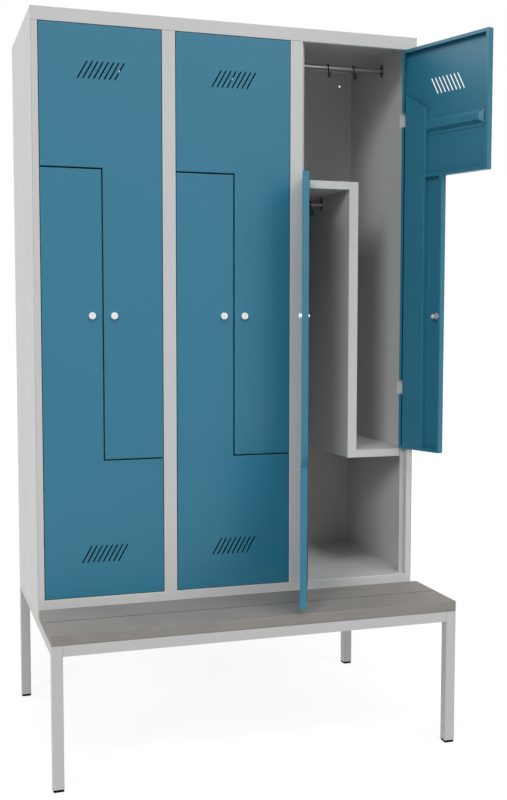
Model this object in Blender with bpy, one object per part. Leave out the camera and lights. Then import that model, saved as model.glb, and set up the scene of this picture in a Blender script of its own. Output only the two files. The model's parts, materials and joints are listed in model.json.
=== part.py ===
"""Three-bay clothes locker with interlocking stepped doors, standing on a bench frame.

Each bay holds two doors that fit together like the halves of a Z, so that two people share its width.
The part stands on z = 0, faces -Y, and has its origin under the centre of the front left foot.
"""
import math

import bmesh
import bpy
from mathutils import Matrix, Vector

# Cabinet body
body_width = 1.200
body_depth = 0.528
body_height = 1.756
bay_count = 3
post_width = 0.040
header_height = 0.0395
header_lip_height = 0.012
sill_height = 0.049
sill_return = 0.030
stop_setback = 0.0225
stop_flange_width = 0.013
rear_fold_width = 0.015
post_return_depth = 0.015
partition_tab_width = 0.030
hanging_hole_radius = 0.0035
hanging_hole_offset = 0.153
hanging_hole_drop = 0.051

# Sheet metal and fits
sheet = 0.001
bend_inner_radius = 0.0006
seat_gap = 0.0003
cut_overrun = 0.002

# Dividers between the two compartments of a bay
divider_width = 0.030
shelf_height = 0.024
upper_shelf_drop = 0.453
lower_shelf_drop = 1.300

# Coat rails and their hooks
rail_radius = 0.0075
rail_setback = 0.257
upper_rail_drop = 0.050
lower_rail_drop = 0.502
rail_plate_height = 0.043
rail_plate_width = 0.021
rail_plate_thickness = 0.003
hook_wire_radius = 0.002
hook_drop = 0.027
hook_bowl_radius = 0.009
hook_tip_height = 0.007
hook_end_angle = math.radians(35)
upper_hook_offsets = (0.0005, 0.0920)
lower_hook_offset = 0.048

# Doors
door_depth = 0.0195
door_gap = 0.002
seam_gap = 0.0045
door_wide_height = 0.404
door_lip_width = 0.010
door_edge_radius = 0.001

# Vent slots
slot_count = 8
slot_pitch = 0.0154
slot_width = 0.004
slot_height = 0.051
slot_lean = 0.0289
vent_drop = 0.129

# Inner stiffener of a door
stile_width = 0.088
stile_hinge_inset = 0.013
stile_drop = 0.139
stile_top_fall = 0.049
rib_base_height = 0.040
rib_crest_height = 0.020
rib_foot_width = 0.008
rib_depth = 0.0127
rib_drop = 0.2455
rib_end_inset = 0.028
rib_end_run = 0.012

# Hinges
pin_inset = 0.009
pin_setback = 0.005
barrel_radius = 0.0035
barrel_length = 0.087
pin_radius = 0.002
pin_length = 0.004
leaf_block_height = 0.040
leaf_reach = 0.026
leaf_thickness = 0.002
leaf_bite = 0.0002
leaf_arm_thickness = 0.0015
leaf_arm_offset = 0.0009
lug_thickness = 0.003
weld_bite = 0.0005
notch_margin = 0.002
hinge_wide_inset = 0.1485
hinge_narrow_inset = 0.129

# Locks
lock_seam_offset = 0.0325
lock_front_radius = 0.0105
lock_front_length = 0.010
lock_front_chamfer = 0.001
lock_neck_radius = 0.008
lock_back_setback = 0.0185
plug_radius = 0.005
plug_proud = 0.0005
cam_setback = 0.020
cam_thickness = 0.0018
cam_length = 0.0275
cam_width = 0.012
keyhole_width = 0.0016
keyhole_height = 0.0075
keyhole_depth = 0.003

# Bench
bench_depth = 0.830
bench_height = 0.404
bench_spare = 0.004
tube_size = 0.030
tube_wall = 0.0015
seat_rear_gap = 0.032
slat_gap = 0.002
slat_thickness = 0.030
slat_edge_radius = 0.002
foot_height = 0.008
foot_radius = 0.0145
foot_base_radius = 0.009
foot_shoulder_height = 0.003
foot_plug_radius = 0.012
foot_plug_length = 0.015

# Rest pose of the two open doors of the last bay
upper_door_open_angle = math.radians(108.5)
lower_door_open_angle = math.radians(111.0)

# Roundness
bend_steps = 2
slot_end_steps = 3
barrel_sides = 12
bore_sides = 10
lock_sides = 18
rail_sides = 16
hook_steps = 7
foot_sides = 18
sharp_angle = math.radians(35)

# Places worked out from the sizes above
left = -tube_size / 2
right = left + body_width
bench_right = right + bench_spare
bench_front = -tube_size / 2
back = bench_front + bench_depth
front = back - body_depth
bottom = bench_height + seat_gap
top = bottom + body_height
field_top = top - header_height
field_bottom = bottom + sill_height
field_middle = (field_top + field_bottom) / 2
field_height = field_top - field_bottom
slat_depth = (front - bench_front - seat_rear_gap - slat_gap) / 2
bay_pitch = body_width / bay_count
inner_left = left + sheet + seat_gap
inner_right = right - sheet - seat_gap
stop_front = front + stop_setback
stop_back = stop_front + sheet
wall_front = stop_back + 2 * seat_gap + sheet
inner_back = back - sheet - seat_gap
panel_front = inner_back - sheet

# One door in its own frame: the hinge pin is the z axis, and the free edge is at -x
bay_clear = bay_pitch - post_width
door_front = -pin_setback
door_back = door_front + door_depth
door_hinge_edge = pin_inset - door_gap
door_free_edge = door_hinge_edge - bay_clear + 2 * door_gap
bay_middle_reach = -(bay_clear / 2 - pin_inset)
door_seam_edge = bay_middle_reach + seam_gap / 2
door_top = field_height / 2 - door_gap
door_step = door_top - door_wide_height
door_bottom = seam_gap - door_step
lock_reach = bay_middle_reach + lock_seam_offset

# Finishes: colour, roughness and metallic value
FINISHES = {
    "frame_paint": ((0.560, 0.571, 0.566, 1.0), 0.42, 0.0),
    "door_paint": ((0.052, 0.190, 0.275, 1.0), 0.40, 0.0),
    "seat_board": ((0.235, 0.238, 0.229, 1.0), 0.55, 0.0),
    "foot_rubber": ((0.012, 0.012, 0.013, 1.0), 0.60, 0.0),
    "bright_steel": ((0.720, 0.720, 0.700, 1.0), 0.22, 1.0),
    "rail_steel": ((0.560, 0.560, 0.550, 1.0), 0.35, 1.0),
    "dark_wire": ((0.030, 0.030, 0.032, 1.0), 0.45, 0.6),
}


def clear_scene():
    """Remove everything that the opened file brought along."""
    for item in list(bpy.data.objects):
        bpy.data.objects.remove(item, do_unlink=True)


def make_material(name, finish):
    """Give one object its own material."""
    color, roughness, metallic = FINISHES[finish]
    material = bpy.data.materials.new(f"{name}_{finish}")
    material.use_nodes = True
    shader = material.node_tree.nodes["Principled BSDF"]
    shader.inputs["Base Color"].default_value = color
    shader.inputs["Roughness"].default_value = roughness
    shader.inputs["Metallic"].default_value = metallic
    material.diffuse_color = color
    return material


def add_object(name, shape, finish, parent=None, location=(0, 0, 0)):
    """Turn a finished bmesh into a named object."""
    bmesh.ops.recalc_face_normals(shape, faces=shape.faces)
    mesh = bpy.data.meshes.new(name)
    shape.to_mesh(mesh)
    mesh.shade_smooth()
    mesh.set_sharp_from_angle(angle=sharp_angle)
    return add_copy(name, mesh, finish, parent, location)


def add_copy(name, mesh, finish, parent=None, location=(0, 0, 0)):
    """Place a mesh under a name of its own, with a material of its own."""
    item = bpy.data.objects.new(name, mesh)
    bpy.context.collection.objects.link(item)
    mesh.materials.clear()
    mesh.materials.append(None)
    item.material_slots[0].link = "OBJECT"
    item.material_slots[0].material = make_material(name, finish)
    item.parent = parent
    item.location = location
    return item


def combine(body, tools, operation):
    """Join tool shapes to a body, or cut them away, one exact Boolean after another."""
    for tool in tools:
        pair = []
        for shape in (body, tool):
            bmesh.ops.recalc_face_normals(shape, faces=shape.faces)
            mesh = bpy.data.meshes.new("work")
            shape.to_mesh(mesh)
            item = bpy.data.objects.new("work", mesh)
            bpy.context.collection.objects.link(item)
            pair.append(item)
        step = pair[0].modifiers.new("combine", "BOOLEAN")
        step.operation = operation
        step.solver = "EXACT"
        step.object = pair[1]
        body.clear()
        body.from_object(pair[0], bpy.context.evaluated_depsgraph_get())
        for item in pair:
            bpy.data.objects.remove(item, do_unlink=True)
    return body


def join(body, *tools):
    return combine(body, tools, "UNION")


def cut(body, *tools):
    return combine(body, tools, "DIFFERENCE")


def cut_pattern(body, tools):
    """Cut many tools that stand clear of each other in one Boolean."""
    pattern = bmesh.new()
    for tool in tools:
        mesh = bpy.data.meshes.new("tool")
        bmesh.ops.recalc_face_normals(tool, faces=tool.faces)
        tool.to_mesh(mesh)
        pattern.from_mesh(mesh)
    return combine(body, (pattern,), "DIFFERENCE")


def loft(rings, close_ends=True, close_round=False):
    """Skin closed rings of equally many points, from the first to the last."""
    shape = bmesh.new()
    loops = [[shape.verts.new(point) for point in ring] for ring in rings]
    pairs = list(zip(loops, loops[1:]))
    if close_round:
        pairs.append((loops[-1], loops[0]))
    for near, far in pairs:
        for i in range(len(near)):
            k = (i + 1) % len(near)
            shape.faces.new((near[i], near[k], far[k], far[i]))
    if close_ends:
        shape.faces.new(loops[0])
        shape.faces.new(list(reversed(loops[-1])))
    return shape


def extrude(outline, axis, start, end):
    """Extrude a flat outline along one axis; its points are the other two axes in turn."""
    def place(point, along):
        spots = list(point)
        spots.insert("xyz".index(axis), along)
        return Vector(spots)
    return loft([[place(point, along) for point in outline] for along in (start, end)])


def rectangle(low, high):
    return [low, (high[0], low[1]), high, (low[0], high[1])]


def box(low, high):
    return extrude(rectangle(low[:2], high[:2]), "z", low[2], high[2])


def arc(center, radius, start, end, steps):
    """Points on an arc, both ends included."""
    turns = [start + (end - start) * i / steps for i in range(steps + 1)]
    return [(center[0] + radius * math.cos(turn), center[1] + radius * math.sin(turn)) for turn in turns]


def circle(radius, sides, center=(0, 0)):
    return arc(center, radius, 0, math.tau * (sides - 1) / sides, sides - 1)


def meet(point, along, other_point, other_along):
    """Where two lines in the plane cross."""
    across = along.cross(other_along)
    return point + along * ((other_point - point).cross(other_along) / across)


def shifted_corner(before, corner, after, distance):
    """The corner of an outline whose two sides move to their left by a distance."""
    first = (corner - before).normalized()
    second = (after - corner).normalized()
    return meet(
        corner + first.orthogonal() * distance, first,
        corner + second.orthogonal() * distance, second,
    )


def folded_sheet(route):
    """Outline of a sheet that lies on the left of a route, with round bends at its corners."""
    points = [Vector(point) for point in route]
    first = (points[1] - points[0]).normalized().orthogonal()
    last = (points[-1] - points[-2]).normalized().orthogonal()
    near_side = [tuple(points[0])]
    far_side = [tuple(points[0] + first * sheet)]
    for before, corner, after in zip(points, points[1:], points[2:]):
        start = (corner - before).normalized().orthogonal()
        end = (after - corner).normalized().orthogonal()
        left_turn = start.cross(end) > 0
        away = -1 if left_turn else 1
        outer = bend_inner_radius + sheet
        distance = outer if left_turn else -bend_inner_radius
        center = shifted_corner(before, corner, after, distance)
        near_radius, far_radius = (outer, bend_inner_radius) if left_turn else (bend_inner_radius, outer)
        turn_from = math.atan2(away * start.y, away * start.x)
        swing = math.asin(max(-1, min(1, start.cross(end))))
        near_side += arc(center, near_radius, turn_from, turn_from + swing, bend_steps)
        far_side += arc(center, far_radius, turn_from, turn_from + swing, bend_steps)
    near_side.append(tuple(points[-1]))
    far_side.append(tuple(points[-1] + last * sheet))
    return near_side + far_side[::-1]


def inset(outline, distance):
    """An outline with every side moved inwards; it runs anticlockwise."""
    points = [Vector(point) for point in outline]
    return [
        tuple(shifted_corner(points[i - 1], points[i], points[(i + 1) % len(points)], distance))
        for i in range(len(points))
    ]


def lathe(profile, sides, axis, hollow=False):
    """Turn radius and height pairs round an axis; a hollow profile closes on itself clear of the axis."""
    rings = []
    for radius, height in profile:
        ring = [list(point) for point in circle(radius, sides)]
        for point in ring:
            point.insert("xyz".index(axis), height)
        rings.append(ring)
    return loft(rings, close_ends=not hollow, close_round=hollow)


def moved(shape, matrix):
    bmesh.ops.transform(shape, matrix=matrix, verts=shape.verts)
    return shape


def bay_middle(bay):
    return left + bay_pitch * (bay + 1 / 2)


def post_middle(post):
    return left + bay_pitch * post


def bay_walls(bay):
    """Inner faces of the walls on the left and on the right of a bay."""
    wall_left = left + sheet if bay == 0 else post_middle(bay) + sheet / 2
    wall_right = right - sheet if bay == bay_count - 1 else post_middle(bay + 1) - sheet / 2
    return wall_left, wall_right


# Cabinet body


def add_side_panels():
    """Flat sides with a fold behind the back panel."""
    for name, side, inward in (("side_panel_left", left, 1), ("side_panel_right", right, -1)):
        route = [(side, front), (side, back), (side + inward * rear_fold_width, back)]
        outline = folded_sheet(route if inward < 0 else route[::-1])
        add_object(name, extrude(outline, "z", bottom, top), "frame_paint")


def add_back_panel():
    """Back sheet with one small hanging hole for each bay."""
    panel = box((inner_left, panel_front, bottom), (inner_right, inner_back, top - sheet - seat_gap))
    holes = []
    for bay in range(bay_count):
        center = (bay_middle(bay) + hanging_hole_offset, top - hanging_hole_drop)
        outline = circle(hanging_hole_radius, bore_sides, center)
        holes.append(extrude(outline, "y", panel_front - cut_overrun, back))
    add_object("back_panel", cut_pattern(panel, holes), "frame_paint")


def add_top_panel():
    """Roof sheet, folded down into the header and back under it."""
    route = [
        (inner_back, top),
        (front, top),
        (front, field_top),
        (stop_front, field_top),
        (stop_front, field_top + header_lip_height),
    ]
    add_object("top_panel", extrude(folded_sheet(route), "x", inner_left, inner_right), "frame_paint")


def add_floor_tray():
    """Floor sheet, folded down into the sill and back under it."""
    route = [
        (panel_front - seat_gap, field_bottom),
        (front, field_bottom),
        (front, bottom),
        (front + sill_return, bottom),
    ]
    add_object("floor_tray", extrude(folded_sheet(route), "x", inner_left, inner_right), "frame_paint")


def hinge_spans():
    """Lower and upper end of both barrels of a door, and the same for the leaf blocks."""
    high = door_top - hinge_wide_inset
    low = door_bottom + hinge_narrow_inset
    barrels = ((high - barrel_length, high), (low, low + barrel_length))
    blocks = (
        (high - barrel_length, high - barrel_length + leaf_block_height),
        (low + barrel_length - leaf_block_height, low + barrel_length),
    )
    return barrels, blocks


def hinge_leaves():
    """Both hinge leaves of a door with their pins, in the door's frame: plate, arm and barrel."""
    plate_back = stop_setback - pin_setback + leaf_bite
    plate_front = plate_back - leaf_thickness
    leaves = []
    for (low, high), (block_low, block_high) in zip(*hinge_spans()):
        profile = [
            (pin_radius, low - pin_length), (pin_radius, low), (barrel_radius, low),
            (barrel_radius, high), (pin_radius, high), (pin_radius, high + pin_length),
        ]
        plate = box(
            (pin_inset + weld_bite - leaf_reach, plate_front, block_low),
            (pin_inset + weld_bite, plate_back, block_high),
        )
        arm = box(
            (-leaf_arm_offset - leaf_arm_thickness, 0, block_low + weld_bite),
            (-leaf_arm_offset, plate_front + leaf_thickness / 2, block_high - weld_bite),
        )
        leaves.append(join(lathe(profile, barrel_sides, "z"), arm, plate))
    return leaves


def pivot_matrix(bay, upper):
    """Frame of a door: the upper one hangs on the right, and the lower one is it turned upside down."""
    reach = bay_clear / 2 - pin_inset
    side = bay_middle(bay) + (reach if upper else -reach)
    place = Matrix.Translation((side, front + pin_setback, field_middle))
    return place if upper else place @ Matrix.Rotation(math.pi, 4, "Y")


def add_posts():
    """Front posts with their stop flanges and the hinge leaves welded to them."""
    flange_reach = stop_flange_width - sheet
    for post in range(bay_count + 1):
        if post in (0, bay_count):
            inward = 1 if post == 0 else -1
            side = inner_left if post == 0 else inner_right
            jamb = (left if post == 0 else right) + inward * post_width / 2
            route = [
                (side, front + post_return_depth),
                (side, front),
                (jamb, front),
                (jamb, stop_front),
                (jamb + inward * flange_reach, stop_front),
            ]
            name = "post_left" if post == 0 else "post_right"
            outline = folded_sheet(route[::inward])
        else:
            jamb_left = post_middle(post) - post_width / 2
            jamb_right = post_middle(post) + post_width / 2
            route = [
                (jamb_left - flange_reach, stop_front),
                (jamb_left, stop_front),
                (jamb_left, front),
                (jamb_right, front),
                (jamb_right, stop_front),
                (jamb_right + flange_reach, stop_front),
            ]
            name = f"post_middle_{post}"
            outline = folded_sheet(route)
        shape = extrude(outline, "z", field_bottom + seat_gap, field_top - seat_gap)
        if post > 0:
            shape = join(shape, *(moved(leaf, pivot_matrix(post - 1, True)) for leaf in hinge_leaves()))
        if post < bay_count:
            shape = join(shape, *(moved(leaf, pivot_matrix(post, False)) for leaf in hinge_leaves()))
        add_object(name, shape, "frame_paint")


def add_partitions():
    """Sheets between the bays, each with a tab welded behind a stop flange."""
    for post in range(1, bay_count):
        face = post_middle(post) - sheet / 2
        route = [
            (face, panel_front - seat_gap),
            (face, stop_back + seat_gap),
            (face + partition_tab_width, stop_back + seat_gap),
        ]
        shape = extrude(folded_sheet(route), "z", field_bottom + seat_gap, top - sheet - seat_gap)
        add_object(f"partition_{post}", shape, "frame_paint")


def add_dividers():
    """Z-shaped box between the two compartments of a bay, open at the back, notched round the posts."""
    upper_shelf = top - upper_shelf_drop
    lower_shelf = top - lower_shelf_drop
    for bay in range(bay_count):
        wall_left, wall_right = bay_walls(bay)
        near_left = bay_middle(bay) - divider_width / 2
        near_right = bay_middle(bay) + divider_width / 2
        outline = [
            (near_left, lower_shelf - shelf_height),
            (wall_right - seat_gap, lower_shelf - shelf_height),
            (wall_right - seat_gap, lower_shelf),
            (near_right, lower_shelf),
            (near_right, upper_shelf),
            (wall_left + seat_gap, upper_shelf),
            (wall_left + seat_gap, upper_shelf - shelf_height),
            (near_left, upper_shelf - shelf_height),
        ]
        steps = [
            (0, stop_front),
            (0, panel_front - seat_gap),
            (sheet, panel_front - seat_gap),
            (sheet, stop_front + sheet),
        ]
        shape = loft([layer(outline, distance, depth) for distance, depth in steps])
        notch_left = bay_middle(bay) - bay_clear / 2 + max(stop_flange_width, partition_tab_width) + seat_gap
        notch_right = bay_middle(bay) + bay_clear / 2 - stop_flange_width - seat_gap
        notches = (
            box(
                (wall_left - cut_overrun, stop_front - cut_overrun, upper_shelf - shelf_height - cut_overrun),
                (notch_left, wall_front, upper_shelf + cut_overrun),
            ),
            box(
                (notch_right, stop_front - cut_overrun, lower_shelf - shelf_height - cut_overrun),
                (wall_right + cut_overrun, wall_front, lower_shelf + cut_overrun),
            ),
        )
        add_object(f"divider_{bay + 1}", cut(shape, *notches), "frame_paint")


# Coat rails and hooks


def add_rail(name, start, end, height):
    """Round bar with an oval plate at each end, against the walls that carry it."""
    depth = front + rail_setback
    ends = (start + seat_gap, end - seat_gap)
    bar = lathe([(rail_radius, ends[0] + weld_bite), (rail_radius, ends[1] - weld_bite)], rail_sides, "x")
    bend = rail_plate_width / 2
    straight = rail_plate_height / 2 - bend
    outline = arc((0, straight), bend, 0, math.pi, rail_sides // 2)
    outline += arc((0, -straight), bend, math.pi, math.tau, rail_sides // 2)
    plates = (
        extrude(outline, "x", ends[0], ends[0] + rail_plate_thickness),
        extrude(outline, "x", ends[1] - rail_plate_thickness, ends[1]),
    )
    shape = moved(join(bar, *plates), Matrix.Translation((0, depth, height)))
    add_object(name, shape, "rail_steel")


def add_hook(name, along, height):
    """Wire S hook that rides on a rail and slides along it."""
    ride = rail_radius + seat_gap + hook_wire_radius
    bowl = (-ride - hook_bowl_radius, -hook_drop)
    route = arc((0, 0), ride, -hook_end_angle, math.pi, hook_steps)
    route += arc(bowl, hook_bowl_radius, 0, -math.pi, hook_steps)
    route.append((bowl[0] - hook_bowl_radius, bowl[1] + hook_tip_height))
    curve = bpy.data.curves.new(name, "CURVE")
    curve.dimensions = "3D"
    curve.bevel_depth = hook_wire_radius
    curve.bevel_resolution = 1
    curve.use_fill_caps = True
    spline = curve.splines.new("POLY")
    spline.points.add(len(route) - 1)
    for point, (y, z) in zip(spline.points, route):
        point.co = (0, y, z, 1)
    add_copy(name, curve, "dark_wire", location=(along, front + rail_setback, height))


def add_rails_and_hooks():
    """One long and one short rail in each bay."""
    for bay in range(bay_count):
        wall_left, wall_right = bay_walls(bay)
        column_wall = bay_middle(bay) - divider_width / 2
        upper_height = top - upper_rail_drop
        lower_height = top - lower_rail_drop
        add_rail(f"coat_rail_upper_{bay + 1}", wall_left, wall_right, upper_height)
        add_rail(f"coat_rail_lower_{bay + 1}", wall_left, column_wall, lower_height)
        for number, offset in enumerate(upper_hook_offsets, 1):
            add_hook(f"hook_upper_{bay + 1}_{number}", bay_middle(bay) + offset, upper_height)
        column_middle = (wall_left + column_wall) / 2
        add_hook(f"hook_lower_{bay + 1}", column_middle + lower_hook_offset, lower_height)


# Doors, each modelled in its own frame


def layer(outline, distance, depth):
    """An outline of x and z points moved inwards and set at a depth."""
    return [(x, depth, z) for x, z in (inset(outline, distance) if distance else outline)]


def vent_slots():
    """Slanting slots in a row, with round ends."""
    lean = Vector((slot_lean, slot_height))
    half = lean.normalized() * (lean.length - slot_width) / 2
    turn = math.atan2(lean.y, lean.x)
    row = (slot_count - 1) * slot_pitch
    slots = []
    for slot in range(slot_count):
        middle = Vector((bay_middle_reach - row / 2 + slot * slot_pitch, field_height / 2 - vent_drop))
        quarter = math.pi / 2
        outline = arc(middle + half, slot_width / 2, turn - quarter, turn + quarter, slot_end_steps)
        outline += arc(middle - half, slot_width / 2, turn + quarter, turn + 3 * quarter, slot_end_steps)
        slots.append(extrude(outline, "y", door_front - cut_overrun, door_front + sheet + cut_overrun))
    return slots


def hinge_notches():
    """Cut-outs in the flange and lip of the hinge side, where the leaves pass."""
    notches = []
    for low, high in hinge_spans()[1]:
        notches.append(box(
            (-leaf_arm_offset - leaf_arm_thickness - notch_margin, door_front + sheet + weld_bite, low - notch_margin),
            (door_hinge_edge + cut_overrun, door_back + cut_overrun, high + notch_margin),
        ))
    return notches


def door_pan():
    """Stepped front sheet with flanges and lips all round, vent slots, lock hole and hinge notches."""
    outline = [
        (door_seam_edge, door_bottom),
        (door_hinge_edge, door_bottom),
        (door_hinge_edge, door_top),
        (door_free_edge, door_top),
        (door_free_edge, door_step),
        (door_seam_edge, door_step),
    ]
    turns = [math.pi / 2 * step / bend_steps for step in range(bend_steps + 1)]
    steps = [
        (door_edge_radius * (1 - math.sin(turn)), door_front + door_edge_radius * (1 - math.cos(turn)))
        for turn in turns
    ]
    steps += [
        (0, door_back),
        (door_lip_width, door_back),
        (door_lip_width, door_back - sheet),
        (sheet, door_back - sheet),
        (sheet, door_front + sheet),
    ]
    shape = loft([layer(outline, distance, depth) for distance, depth in steps])
    lock_hole = circle(lock_neck_radius + seat_gap, lock_sides, (lock_reach, 0))
    hole = extrude(lock_hole, "y", door_front - cut_overrun, door_front + sheet + cut_overrun)
    return cut_pattern(shape, [*vent_slots(), hole, *hinge_notches()])


def hinge_lug(height):
    """Flat lug welded to the stile, with a bore for the end of a hinge pin."""
    start = door_hinge_edge - stile_hinge_inset - sheet / 2
    quarter = math.pi / 2
    outline = [(start, -barrel_radius)] + arc((0, 0), barrel_radius, -quarter, quarter, barrel_sides // 2)
    outline.append((start, barrel_radius))
    bore = circle(pin_radius + seat_gap, bore_sides)
    lug = extrude(outline, "z", height, height + lug_thickness)
    return cut(lug, extrude(bore, "z", height - cut_overrun, height + lug_thickness + cut_overrun))


def door_stiffener():
    """Stile along the hinge side with a cross rib, a step angle and the hinge lugs welded to it."""
    near = door_front + sheet + seat_gap
    far = door_back - sheet - seat_gap
    stile_right = door_hinge_edge - stile_hinge_inset
    stile_left = stile_right - stile_width
    route = [(stile_right, near), (stile_right, far), (stile_left, far), (stile_left, near)]
    crown = door_top - stile_drop
    stile = extrude(folded_sheet(route), "z", door_bottom + sheet + seat_gap, crown + cut_overrun)
    slope = stile_top_fall / stile_width
    low, high = stile_left - cut_overrun, stile_right + cut_overrun
    above = [
        (low, crown - (stile_right - low) * slope),
        (high, crown + (high - stile_right) * slope),
        (high, crown + stile_top_fall),
        (low, crown + stile_top_fall),
    ]
    stile = cut(stile, extrude(above, "y", near - cut_overrun, far + cut_overrun))
    weld_side = stile_left + sheet / 2

    middle = door_top - rib_drop
    foot = near + weld_bite + sheet

    def rib_ring(along, crest):
        half = [
            (foot, rib_base_height / 2 + rib_foot_width),
            (foot, rib_base_height / 2),
            (crest, rib_crest_height / 2),
        ]
        route = [(depth, middle - reach) for depth, reach in half]
        route += [(depth, middle + reach) for depth, reach in half[::-1]]
        return [(along, depth, height) for depth, height in folded_sheet(route)]

    rib_end = door_free_edge + rib_end_inset
    rib = loft([
        rib_ring(rib_end, foot + sheet),
        rib_ring(rib_end + rib_end_run, near + rib_depth),
        rib_ring(weld_side, near + rib_depth),
    ])

    web = far - weld_bite
    route = [(near + weld_bite, door_step), (web, door_step), (web, door_step + door_lip_width)]
    step_angle = extrude(folded_sheet(route), "x", door_seam_edge + door_lip_width + seat_gap, weld_side)

    lugs = []
    for low, high in hinge_spans()[0]:
        lugs.append(hinge_lug(low - seat_gap - lug_thickness))
        lugs.append(hinge_lug(high + seat_gap))
    return join(stile, rib, step_angle, *lugs)


def lock_housing():
    """Turned lock body: round front before the door, neck through its hole."""
    face = door_front - lock_front_length
    bore = plug_radius + seat_gap
    return lathe(
        [
            (bore, face),
            (lock_front_radius - lock_front_chamfer, face),
            (lock_front_radius, face + lock_front_chamfer),
            (lock_front_radius, door_front - seat_gap),
            (lock_neck_radius, door_front - seat_gap),
            (lock_neck_radius, door_front + lock_back_setback),
            (bore, door_front + lock_back_setback),
        ],
        lock_sides,
        "y",
        hollow=True,
    )


def lock_plug():
    """Turning plug with a keyhole in front and the cam behind."""
    face = door_front - lock_front_length - plug_proud
    cam_front = door_front + cam_setback
    cam_back = cam_front + cam_thickness
    quarter = math.pi / 2
    round_end = cam_width / 2
    outline = arc((0, 0), round_end, -quarter, quarter, barrel_sides // 2)
    outline += arc((round_end - cam_length, 0), round_end, quarter, 3 * quarter, barrel_sides // 2)
    keyhole = box(
        (-keyhole_width / 2, face - cut_overrun, -keyhole_height / 2),
        (keyhole_width / 2, face + keyhole_depth, keyhole_height / 2),
    )
    plug = lathe([(plug_radius, face), (plug_radius, cam_front + cam_thickness / 2)], lock_sides, "y")
    return cut(join(plug, extrude(outline, "y", cam_front, cam_back)), keyhole)


def add_doors():
    """Upper and lower door of each bay; those of the last bay stand open."""
    shapes = {
        "panel": (door_pan(), "door_paint", 0),
        "stiffener": (door_stiffener(), "door_paint", 0),
        "lock_housing": (lock_housing(), "bright_steel", lock_reach),
        "lock_plug": (lock_plug(), "bright_steel", lock_reach),
    }
    meshes = {}
    for part, (shape, finish, reach) in shapes.items():
        bmesh.ops.recalc_face_normals(shape, faces=shape.faces)
        mesh = bpy.data.meshes.new(part)
        shape.to_mesh(mesh)
        mesh.shade_smooth()
        mesh.set_sharp_from_angle(angle=sharp_angle)
        meshes[part] = (mesh, finish, reach)
    for bay in range(bay_count):
        last = bay == bay_count - 1
        for upper in (True, False):
            name = f"{'upper' if upper else 'lower'}_door_{bay + 1}"
            pivot = bpy.data.objects.new(f"{name}_pivot", None)
            bpy.context.collection.objects.link(pivot)
            place = pivot_matrix(bay, upper)
            pivot.location = place.to_translation()
            opening = upper_door_open_angle if upper else -lower_door_open_angle
            pivot.rotation_euler = (0, 0 if upper else math.pi, opening if last else 0)
            for part, (mesh, finish, reach) in meshes.items():
                add_copy(f"{name}_{part}", mesh, finish, pivot, (reach, 0, 0))


# Bench


def add_bench_frame():
    """Welded frame of square tube, open at the foot of each leg."""
    def tubes(wall, leg_end):
        low_x, high_x = left + wall, bench_right - wall
        low_y, high_y = bench_front + wall, back - wall
        low_z, high_z = bench_height - tube_size + wall, bench_height - wall
        size = tube_size - 2 * wall
        for x in (low_x, high_x - size):
            yield box((x, low_y, low_z), (x + size, high_y, high_z))
            for y in (low_y, high_y - size):
                yield box((x, y, leg_end), (x + size, y + size, high_z))
        for y in (low_y, front + wall, high_y - size):
            yield box((low_x, y, low_z), (high_x, y + size, high_z))
    outer = list(tubes(0, foot_height + seat_gap))
    inner = list(tubes(tube_wall, foot_height - cut_overrun))
    frame = join(outer[0], *outer[1:])
    add_object("bench_frame", cut(frame, join(inner[0], *inner[1:])), "frame_paint")


def add_slats():
    """Two seat boards with rounded long edges."""
    low = bench_height + seat_gap
    quarter = math.pi / 2
    start = bench_front
    for name in ("seat_slat_front", "seat_slat_rear"):
        spots = (
            (start + slat_edge_radius, low + slat_edge_radius),
            (start + slat_depth - slat_edge_radius, low + slat_edge_radius),
            (start + slat_depth - slat_edge_radius, low + slat_thickness - slat_edge_radius),
            (start + slat_edge_radius, low + slat_thickness - slat_edge_radius),
        )
        outline = []
        for turn, spot in enumerate(spots):
            begin = math.pi + turn * quarter
            outline += arc(spot, slat_edge_radius, begin, begin + quarter, bend_steps)
        add_object(name, extrude(outline, "x", left, bench_right), "seat_board")
        start += slat_depth + slat_gap


def add_feet():
    """Domed foot under each leg, with a plug that sits in the tube."""
    profile = [
        (foot_base_radius, 0),
        (foot_radius - foot_shoulder_height / 2, foot_shoulder_height),
        (foot_radius, foot_height),
        (foot_plug_radius, foot_height),
        (foot_plug_radius, foot_height + foot_plug_length),
    ]
    half = tube_size / 2
    places = {
        "foot_front_left": (left + half, bench_front + half),
        "foot_front_right": (bench_right - half, bench_front + half),
        "foot_rear_left": (left + half, back - half),
        "foot_rear_right": (bench_right - half, back - half),
    }
    for name, (x, y) in places.items():
        add_object(name, lathe(profile, foot_sides, "z"), "foot_rubber", location=(x, y, 0))


clear_scene()
add_side_panels()
add_back_panel()
add_top_panel()
add_floor_tray()
add_posts()
add_partitions()
add_dividers()
add_rails_and_hooks()
add_doors()
add_bench_frame()
add_slats()
add_feet()
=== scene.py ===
"""Dresses the locker with bench for its photograph: finishes, fasteners, floor, light, camera."""

import json
import logging
import math
from dataclasses import dataclass
from enum import Enum

import bmesh
import bpy
from mathutils import Matrix, Vector


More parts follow.
